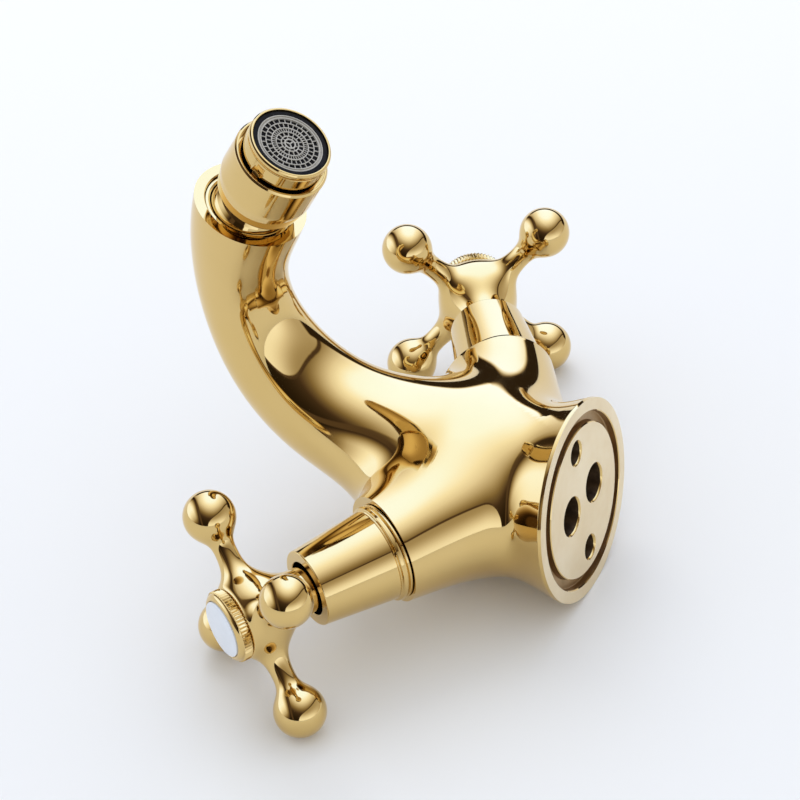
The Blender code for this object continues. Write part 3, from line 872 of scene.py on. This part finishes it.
def make_index(name, placing):
    """Bezel and the slightly domed disc that it holds."""
    body = f"{name}_valve_handle"
    bezel = knurled_ring(f"{name}_index_bezel", placing)
    finish_piece(bezel, body, "polished_gold", f"{name}_index_ring")
    edge, base, crown, width = 10.9, 9.3, 0.55, 8.35
    dome = []
    for radius in np.linspace(0, 7.7, 12):
        dome.append((radius, edge + crown * (1 - (radius / 8.4) ** 2), 1.0))
    profile = [(0, dome[0][1]), *dome[1:], (width, edge, 0.25), (width, base), (0, base)]
    disc = turned(f"{name}_porcelain_disc", profile, placing, (SLOT_LOOKS["porcelain"],))
    finish_piece(disc, body, "porcelain", f"{name}_index_disc")


# --- Nozzle ---


def make_mouth_nut(placing):
    """Ring that holds the ball in the mouth."""
    face = [(11.4, -0.9, 0.1), (12.0, -0.55, 0.15), (12.75, -0.75, 0.15)]
    profile = [*face, (12.75, -3.4), (12.25, -3.4), (11.75, -2.2)]
    nut = turned("mouth_retaining_nut", profile, placing)
    finish_piece(nut, "tap_body", "polished_gold", "ball_retaining_nut")


def make_ball(placing):
    """Hollow stem and the ball that it ends in, as an arc of short rounded steps."""
    stem = [(5.0, 17.4), (8.3, 17.4), (8.3, 9.4)]
    arc = []
    for degrees in range(42, -57, -7):
        angle = math.radians(degrees)
        arc.append((SWIVEL_BALL * math.cos(angle), SWIVEL_BALL * math.sin(angle), 2.0))
    ball = turned("swivel_ball", [*stem, *arc, (6.2, -10.3), (5.0, -9.6)], placing)
    finish_piece(ball, "nozzle", "polished_gold", "nozzle_ball")


def make_sleeve(placing):
    """Barrel round the aerator, with a rounded shoulder towards the ball."""
    rim = [(12.95, 28.6, 0.1), (13.45, 28.6, 0.2), (13.95, 28.0, 0.3)]
    shoulder = [(14.0, 17.5, 6.0), (12.7, 11.2, 1.0), (11.4, 10.5, 0.5), (8.6, 10.5, 0.2)]
    inside = [(8.6, 14.2), (11.6, 14.2), (11.6, 25.8), (12.95, 25.8)]
    sleeve = turned("nozzle_sleeve", rim + shoulder + inside, placing)
    finish_piece(sleeve, "nozzle", "polished_gold", "nozzle_barrel")


def make_shell(placing):
    """Aerator housing with a fine line round its rim and a wrench slot on either side."""
    rim = [(11.3, 35.5, 0.12), (11.8, 35.5, 0.25), (12.2, 35.0, 0.3)]
    line = [(12.2, 33.75), (12.08, 33.65), (12.08, 33.5), (12.2, 33.4)]
    inside = [(12.2, 26.6), (11.3, 26.4), (11.3, 18.0), (10.4, 18.0), (10.4, 34.0), (11.3, 34.4)]
    shell = turned("aerator_shell", rim + line + inside, placing)
    half, length, lean = 0.9, 2.2, 0.25
    slots = []
    for side in (-1, 1):
        middle = placing @ Matrix.Translation((side * 13.1, 0, 30.3)) @ Matrix.Rotation(lean, 4, "X")
        slots.append((f"slot_{side}", [(0, half), (length, half), (length, -half), (0, -half)], middle))
    cut(shell, slots)
    shell.data.shade_smooth()
    shell.data.set_sharp_from_angle(angle=CUT_EDGE)
    finish_piece(shell, "nozzle", "polished_gold", "aerator_housing")


def make_seal(placing):
    profile = [(11.15, 35.0, 0.3), (11.15, 34.3), (9.75, 34.3), (9.75, 35.0, 0.3)]
    seal = turned("outlet_seal", profile, placing, (BLACK_RUBBER,))
    finish_piece(seal, "nozzle", "black_rubber", "aerator_seal")


def ring_part(inner, outer, low, high, sides=96):
    """Corner points and quads of a square-section ring."""
    spin = [(math.cos(math.tau * k / sides), math.sin(math.tau * k / sides)) for k in range(sides)]
    section = [(inner, high), (outer, high), (outer, low), (inner, low)]
    points = [(c * r, s * r, h) for r, h in section for c, s in spin]
    return points, ring_faces(len(section), sides)


def rib_part(inner, outer, angle, width, low, high):
    """Corner points and quads of a straight rib that points outwards."""
    cos, sin = math.cos(angle), math.sin(angle)
    flat = [(inner, -width / 2), (outer, -width / 2), (outer, width / 2), (inner, width / 2)]
    points = [(r * cos - t * sin, r * sin + t * cos, h) for h in (low, high) for r, t in flat]
    faces = [[3, 2, 1, 0], [4, 5, 6, 7], [0, 1, 5, 4], [1, 2, 6, 5], [2, 3, 7, 6], [3, 0, 4, 7]]
    return points, faces


# The insert's grid: its hoops as inner and outer radius, and its circles of ribs as their count, inner and
# outer radius, offset in ribs and width
GRID_TOP, GRID_DEEP, RIB_TOP = 34.75, 34.45, 34.7
GRID_HOOPS = ((7.08, 7.32), (5.35, 5.65), (4.0, 4.25), (2.45, 2.75), (1.35, 1.75))
GRID_RIBS = (
    (28, 7.2, 8.8, 0.0, 0.2),
    (28, 5.6, 7.2, 0.5, 0.2),
    (40, 4.1, 5.4, 0.0, 0.18),
    (15, 2.6, 4.1, 0.0, 0.22),
    (9, 1.6, 2.6, 0.5, 0.22),
    (3, 0.0, 1.5, 0.0, 0.38),
)


def make_insert(placing):
    """Grey cup whose open front is a fine grid of hoops, ribs and staggered cells."""
    lip, wall, ledge = (8.65, 8.95, 33.0, 34.9), (9.45, 9.72, 18.0, 34.95), (8.9, 9.5, 30.0, 34.6)
    parts = [ring_part(*sizes) for sizes in (lip, wall, ledge)]
    for inner, outer in GRID_HOOPS:
        parts.append(ring_part(inner, outer, GRID_DEEP, GRID_TOP))
    for count, inner, outer, offset, width in GRID_RIBS:
        for k in range(count):
            angle = math.tau * (k + offset) / count
            parts.append(rib_part(inner, outer, angle, width, GRID_DEEP, RIB_TOP))
    points, faces = [], []
    for part_points, part_faces in parts:
        start = len(points)
        points += part_points
        faces += [[start + i for i in face] for face in part_faces]
    grid = new_object("aerator_grid", placed(points, placing), faces, None, (GREY_PLASTIC,))
    finish_piece(grid, "nozzle", "grey_plastic", "aerator_insert")
    # A black disc just behind the grid, as painted shade that darkens the grid's cells
    profile = [(0, 34.3), (8.6, 34.3), (8.6, 33.6), (0, 33.6)]
    shade_disc = turned("aerator_grid_shade_disc", profile, placing, (BLACK_RUBBER,), 48)
    finish_piece(shade_disc, "nozzle", "black_rubber")


def make_nozzle(placing):
    make_ball(placing)
    make_sleeve(placing)
    make_shell(placing)
    make_seal(placing)
    make_insert(placing)


# --- Studio ---


CAMERA_PLACE = (-0.8132, -0.7042, -0.4280)
CAMERA_RIGHT = Vector((0.41327, 0.14390, -0.89916))
CAMERA_UP = Vector((0.58350, -0.79993, 0.14017))
CAMERA_LENS, CAMERA_SENSOR = 181.6, 36
FLOOR_HALF, FLOOR_GAP = 2500.0, 0.05


def make_camera():
    data = bpy.data.cameras.new("camera")
    data.lens = CAMERA_LENS
    data.sensor_width = CAMERA_SENSOR
    data.clip_start, data.clip_end = 0.01, 20
    camera = bpy.data.objects.new("camera", data)
    back = CAMERA_RIGHT.cross(CAMERA_UP)
    turn = Matrix((CAMERA_RIGHT, CAMERA_UP, back)).transposed().to_4x4()
    camera.matrix_world = Matrix.Translation(CAMERA_PLACE) @ turn
    bpy.context.scene.collection.objects.link(camera)
    bpy.context.scene.camera = camera


def lying_angle():
    """How far the tap leans when it lies on its foot's rim and on two handle balls."""
    frame_hot = handle_frame("hot")
    turn = Matrix.Rotation(HANDLE_TURN["hot"], 3, "Z")
    ball = frame_hot @ (turn @ Vector((SPOKE_REACH, 0, 0)))
    gap, height = BASE_RADIUS - ball.y, ball.z
    return math.acos(BALL_RADIUS / math.hypot(gap, height)) - math.atan2(height, gap)


def floor_material():
    """Pale paper that is only there from its front, so that views from behind see through it."""
    material = new_material("paper_floor", (0.9, 0.905, 0.915), 0.0, 0.9)
    tint(material, noise(material, 3, 2), (0.865, 0.885, 0.90), (0.875, 0.895, 0.91))
    tree = material.node_tree
    shader = tree.nodes["Principled BSDF"]
    shader.inputs["Specular IOR Level"].default_value = 0.1
    clear = tree.nodes.new("ShaderNodeBsdfTransparent")
    side = tree.nodes.new("ShaderNodeNewGeometry")
    mix = tree.nodes.new("ShaderNodeMixShader")
    tree.links.new(side.outputs["Backfacing"], mix.inputs["Fac"])
    tree.links.new(shader.outputs["BSDF"], mix.inputs[1])
    tree.links.new(clear.outputs["BSDF"], mix.inputs[2])
    tree.links.new(mix.outputs["Shader"], tree.nodes["Material Output"].inputs["Surface"])
    return material


def make_floor():
    lean = lying_angle()
    away = Vector((0, math.cos(lean), math.sin(lean)))
    along = Vector((0, -math.sin(lean), math.cos(lean)))
    centre = Vector((0, BASE_RADIUS, 0)) + away * FLOOR_GAP
    cross = Vector((1, 0, 0))
    corners = []
    for a, b in ((-1, -1), (1, -1), (1, 1), (-1, 1)):
        corners.append(tuple(centre + cross * a * FLOOR_HALF + along * b * FLOOR_HALF))
    floor = new_object("floor", corners, [[0, 1, 2, 3]], None, (floor_material(),))


def floor_axes():
    """Up from the floor, away from the camera along it, and to the camera's right along it."""
    lean = lying_angle()
    up = Vector((0, -math.cos(lean), -math.sin(lean)))
    forward = CAMERA_UP.cross(CAMERA_RIGHT)
    back = (forward - forward.dot(up) * up).normalized()
    return up, back, back.cross(up)


# Brightness of the studio by direction. Across and away are angles from straight above the floor, to the
# camera's right and away from it, in degrees, and a level is what polished gold shows of it, from 0 to 1.
# A pair of numbers is where a smooth change starts and ends.
LAMP_ACROSS, LAMP_AWAY = 8, 40
LAMP_STRETCH = (3, -1.5)  # times as long as wide, away from the camera and, below 0, towards it
LAMP_FALL = (
    (0, 1.0),
    (17, 0.985),
    (27, 0.82),
    (37, 0.56),
    (43, 0.41),
    (50, 0.21),
    (57, 0.09),
    (66, 0.01),
    (90, 0.0),
)
LEFT_START, LEFT_RISE = (-38, -42), (-44, -66)
LEFT_WALL = ((-90, 0.0), (-65, 0.0), (-48, 0.12), (-35, 0.32), (-15, 0.64), (5, 0.87), (25, 0.93), (90, 0.78))
GAP_ACROSS, GAP_FADE, GAP_LEVEL = -41, (6, 3), 0.04
GAP_DARKNESS = ((-90, 1.0), (5, 1.0), (25, 0.55), (45, 0.3), (65, 0.15), (90, 0.0))
RIGHT_LEAST, RIGHT_LOW = 0.22, (55, 90)
RIGHT_WALL = ((-90, 0.50), (-65, 0.55), (-45, 0.46), (-25, 0.28), (-5, 0.16), (15, 0.08), (90, 0.08))
RIGHT_END, RIGHT_END_LEVEL = (38, 44), 0.01
RIGHT_EDGE = (
    (-90, -12),
    (-75, -3),
    (-65, 7),
    (-55, 18),
    (-45, 29),
    (-35, 38),
    (-25, 45),
    (-15, 50),
    (0, 56),
    (20, 60),
    (40, 63),
    (60, 66),
    (90, 68),
)
EDGE_START, EDGE_LINE, EDGE_LEVEL = (0, 2.5), (3, 1), 0.03
HORIZON, HORIZON_AWAY, HORIZON_RIGHT, HORIZON_LEVEL = (76, 79.5), (0.35, 0.45), (-0.45, -0.35), 0.005
LEVEL_COLORS = (
    (0.0, (0.02, 0.014, 0.008)),
    (0.034, (0.10, 0.068, 0.05)),
    (0.127, (0.314, 0.254, 0.16)),
    (0.246, (0.537, 0.492, 0.42)),
    (0.347, (0.71, 0.694, 0.69)),
    (0.552, (1.05, 1.10, 1.27)),
    (0.753, (1.34, 1.50, 1.90)),
    (0.855, (1.40, 1.68, 2.45)),
    (0.939, (1.42, 1.86, 3.10)),
    (1.0, (1.42, 1.96, 3.60)),
)
BRIGHTEST = 5.0
SOFT_LIGHT = (0.87, 0.86, 0.845, 1)  # what the tent gives to paper, porcelain and plastic
BACKGROUND = (0.93, 0.94, 0.955, 1)
KEY_SIZE, KEY_DISTANCE, KEY_ENERGY = 1.0, 1.3, 4


class NodeSums:
    """Arithmetic with the nodes of one tree."""

    def __init__(self, tree):
        self.nodes, self.links = tree.nodes, tree.links

    def calc(self, kind, *values):
        node = self.nodes.new("ShaderNodeMath")
        node.operation = kind
        for socket, value in zip(node.inputs, values):
            if isinstance(value, (int, float)):
                socket.default_value = value
            else:
                self.links.new(value, socket)
        return node.outputs[0]

    def along(self, vector, direction):
        """How far the vector goes in that direction."""
        dot = self.nodes.new("ShaderNodeVectorMath")
        dot.operation = "DOT_PRODUCT"
        dot.inputs[1].default_value = direction
        self.links.new(vector, dot.inputs[0])
        return dot.outputs["Value"]

    def ranged(self, value, low, high, kind="SMOOTHSTEP"):
        """The value from low to high as 0 to 1."""
        node = self.nodes.new("ShaderNodeMapRange")
        node.interpolation_type = kind
        node.inputs["From Min"].default_value = low
        node.inputs["From Max"].default_value = high
        self.links.new(value, node.inputs["Value"])
        return node.outputs["Result"]

    def ramp(self, value, stops, kind="LINEAR"):
        """Colours by value, each stop being (value, colour)."""
        low, high = stops[0][0], stops[-1][0]
        node = self.nodes.new("ShaderNodeValToRGB")
        node.color_ramp.interpolation = kind
        elements = node.color_ramp.elements
        while len(elements) < len(stops):
            elements.new(0.5)
        for element, (place, color) in zip(elements, stops):
            element.position = (place - low) / (high - low)
            element.color = (*color, 1)
        self.links.new(self.ranged(value, low, high, "LINEAR"), node.inputs["Fac"])
        return node.outputs["Color"]

    def curve(self, value, stops):
        """Numbers from -100 to 100 by value, read smoothly off a ramp of greys."""
        greys = [(place, [(number + 100) / 200] * 3) for place, number in stops]
        grey = self.ramp(value, greys, "B_SPLINE")
        return self.calc("SUBTRACT", self.calc("MULTIPLY", grey, 200), 100)

    def mix(self, a, b, share):
        """a, and b where the share is 1."""
        rest = self.calc("SUBTRACT", 1, share)
        return self.calc("ADD", self.calc("MULTIPLY", a, rest), self.calc("MULTIPLY", b, share))

    def length(self, a, b):
        """Length of a vector with these two parts."""
        return self.calc("SQRT", self.calc("ADD", self.calc("MULTIPLY", a, a), self.calc("MULTIPLY", b, b)))


def tent_level(sums, where):
    """Level of the tent in each direction."""
    calc, ranged, curve, mix = sums.calc, sums.ranged, sums.curve, sums.mix
    height, depth, side = (sums.along(where, direction) for direction in floor_axes())
    steep = calc("DEGREES", calc("ARCCOSINE", height))
    scale = calc("DIVIDE", steep, calc("MAXIMUM", sums.length(depth, side), 0.0001))
    across, away = calc("MULTIPLY", side, scale), calc("MULTIPLY", depth, scale)

    off_away = calc("SUBTRACT", away, LAMP_AWAY)
    off_away = calc("MAXIMUM", *(calc("DIVIDE", off_away, stretch) for stretch in LAMP_STRETCH))
    level = curve(sums.length(calc("SUBTRACT", across, LAMP_ACROSS), off_away), LAMP_FALL)

    left = calc("MULTIPLY", curve(away, LEFT_WALL), ranged(across, *LEFT_RISE))
    level = mix(level, left, ranged(across, *LEFT_START))
    gap = ranged(calc("ABSOLUTE", calc("SUBTRACT", across, GAP_ACROSS)), *GAP_FADE)
    level = mix(level, GAP_LEVEL, calc("MULTIPLY", gap, curve(away, GAP_DARKNESS)))

    edge = calc("SUBTRACT", across, curve(away, RIGHT_EDGE))
    wall = calc("MULTIPLY", curve(away, RIGHT_WALL), ranged(steep, *RIGHT_LOW))
    wall = mix(calc("ADD", RIGHT_LEAST, wall), RIGHT_END_LEVEL, ranged(away, *RIGHT_END))
    level = mix(level, wall, ranged(edge, *EDGE_START))
    level = mix(level, EDGE_LEVEL, ranged(calc("ABSOLUTE", edge), *EDGE_LINE))

    ground = calc("MULTIPLY", ranged(steep, *HORIZON), ranged(depth, *HORIZON_AWAY))
    return mix(level, HORIZON_LEVEL, calc("MULTIPLY", ground, ranged(side, *HORIZON_RIGHT)))


def make_world():
    """Light tent: a lamp panel above, a wall on either side with a gap beside it, and a dark room
    round the camera. Mirror images show it, and surfaces that scatter light get an even light instead."""
    world = bpy.data.worlds.new("tent")
    bpy.context.scene.world = world
    world.use_nodes = True
    nodes, links = world.node_tree.nodes, world.node_tree.links
    sums = NodeSums(world.node_tree)
    level = tent_level(sums, nodes.new("ShaderNodeTexCoord").outputs["Generated"])
    colors = [(place, [part / BRIGHTEST for part in color]) for place, color in LEVEL_COLORS]
    sky = sums.ramp(level, colors)
    rays = nodes.new("ShaderNodeLightPath").outputs
    for ray, color in (("Is Diffuse Ray", SOFT_LIGHT), ("Is Camera Ray", BACKGROUND)):
        shown = nodes.new("ShaderNodeMix")
        shown.data_type = "RGBA"
        links.new(rays[ray], shown.inputs["Factor"])
        links.new(sky, shown.inputs["A"])
        shown.inputs["B"].default_value = [part / BRIGHTEST for part in color]
        sky = shown.outputs["Result"]
    links.new(sky, nodes["Background"].inputs["Color"])
    nodes["Background"].inputs["Strength"].default_value = BRIGHTEST


def make_light():
    """Large soft key from above and behind. It lights the paper, porcelain and plastic, and leaves the
    metal's mirror image of the tent alone."""
    data = bpy.data.lights.new("key", "AREA")
    data.shape = "DISK"
    data.size = KEY_SIZE
    data.energy = KEY_ENERGY
    light = bpy.data.objects.new("key", data)
    light.visible_glossy = False
    up, back, right = floor_axes()
    direction = (up * 0.75 + back * 0.65 - right * 0.12).normalized()
    light.location = direction * KEY_DISTANCE
    light.rotation_euler = direction.to_track_quat("Z", "Y").to_euler()
    bpy.context.scene.collection.objects.link(light)


# --- Making it all ---


def make_tap():
    """Every visible piece of the tap."""
    make_body()
    form = handle_form()
    for name in ("hot", "cold"):
        placing = handle_frame(name)
        make_bonnet(name, placing)
        make_handle(name, placing, form)
        make_index(name, placing)
    make_mouth_nut(mouth_frame())
    make_nozzle(nozzle_frame())


def dress_cad_nodes():
    """Gives each CAD node the look of its material slot."""
    slots = {part["node"]: part["material_slot"] for part in frame["record"]["subparts"]}
    for node, obj in frame["nodes"].items():
        obj.data.materials.clear()
        obj.data.materials.append(SLOT_LOOKS[slots[node]])


make_camera()
make_tap()
dress_cad_nodes()
make_floor()
make_world()
make_light()
bpy.context.scene.view_settings.view_transform = "Standard"
